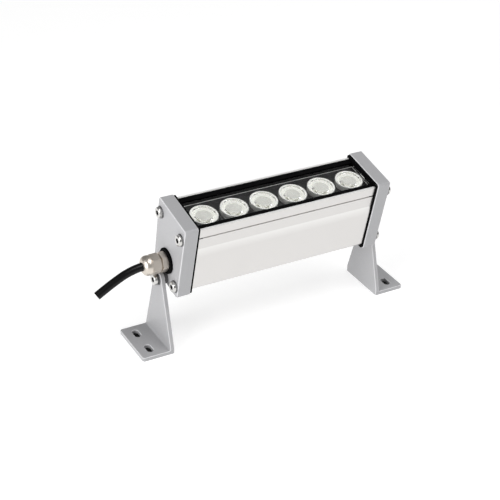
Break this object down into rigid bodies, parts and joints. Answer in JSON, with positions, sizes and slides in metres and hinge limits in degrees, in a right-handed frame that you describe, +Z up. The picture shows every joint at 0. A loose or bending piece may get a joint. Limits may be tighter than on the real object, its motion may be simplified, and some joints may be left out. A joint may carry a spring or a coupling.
{
  "type": "wall washer light",
  "caption": "Short aluminium wall washer light: lensed LEDs behind glass between two grey end caps, a side cable gland, and two tilting floor brackets.",
  "frame": {"origin": "on the mounting surface, under the middle of the light's outline without its cable", "axes": "+X along the lamp away from the cable, +Y towards the back, +Z up; the light leans towards -Y, the front"},
  "size_m": [0.2625, 0.0543, 0.118],
  "materials": {
    "painted_plate": "satin",
    "painted_cast": "satin",
    "anodised_aluminium": "satin",
    "black_rubber": "matte",
    "bright_steel": "polished",
    "clear_glass": "polished",
    "dark_sheet": "satin",
    "clear_lens": "polished",
    "white_holder": "glossy",
    "led_resin": "glossy",
    "white_board": "satin",
    "green_board": "satin",
    "dark_component": "matte",
    "yellow_winding": "satin",
    "green_block": "satin",
    "wire_insulation": "satin",
    "cable_jacket": "satin",
    "nickel_plated": "polished",
    "grey_spacer": "matte"
  },
  "bodies": {
    "left_stand": {"bracket_left": "painted_plate"},
    "head": {"housing": "anodised_aluminium", "end_cap_left": "painted_cast", "end_cap_right": "painted_cast", "end_gasket_left": "black_rubber", "end_gasket_right": "black_rubber", "cap_screws_left": "bright_steel", "cap_screws_right": "bright_steel", "cap_washers_left": "bright_steel", "cap_washers_right": "bright_steel", "glass_cover": "clear_glass", "glass_seals": "black_rubber", "glass_beds": "black_rubber", "lens_tray": "dark_sheet", "lens_1": "clear_lens", "lens_2": "clear_lens", "lens_3": "clear_lens", "lens_4": "clear_lens", "lens_5": "clear_lens", "lens_6": "clear_lens", "lens_holder_1": "white_holder", "lens_holder_2": "white_holder", "lens_holder_3": "white_holder", "lens_holder_4": "white_holder", "lens_holder_5": "white_holder", "lens_holder_6": "white_holder", "led_1": "led_resin", "led_2": "led_resin", "led_3": "led_resin", "led_4": "led_resin", "led_5": "led_resin", "led_6": "led_resin", "led_board": "white_board", "board_screws": "bright_steel", "driver_board": "green_board", "driver_standoffs": "bright_steel", "driver_screws": "bright_steel", "driver_capacitor": "dark_component", "driver_transformer": "yellow_winding", "driver_chips": "dark_component", "terminal_block": "green_block", "led_leads": "wire_insulation", "cable_cores": "wire_insulation", "cable_inner": "cable_jacket", "cable": "cable_jacket", "gland_ring": "black_rubber", "gland_body": "nickel_plated", "gland_lock_nut": "nickel_plated", "gland_seal": "black_rubber", "gland_nut": "nickel_plated", "pivot_spacer_left": "grey_spacer", "pivot_spacer_right": "grey_spacer", "pivot_washer_left": "bright_steel", "pivot_washer_right": "bright_steel", "pivot_lock_washer_left": "bright_steel", "pivot_lock_washer_right": "bright_steel", "pivot_screw_left": "bright_steel", "pivot_screw_right": "bright_steel"},
    "right_stand": {"bracket_right": "painted_plate"}
  },
  "joints": [
    {"name": "head_tilt", "type": "hinge", "parent": "left_stand", "child": "head", "pos_m": [-0.0941, 0.00546, 0.0555], "axis": [1, 0, 0], "range_deg": [-101, 79]},
    {"name": "right_stand_swing", "type": "hinge", "parent": "head", "child": "right_stand", "pos_m": [0.0941, 0.00546, 0.0555], "axis": [1, 0, 0], "range_deg": [-79, 101]}
  ],
  "couplings": [
    {"joint": "right_stand_swing", "follows": "head_tilt", "ratio": -1}
  ]
}
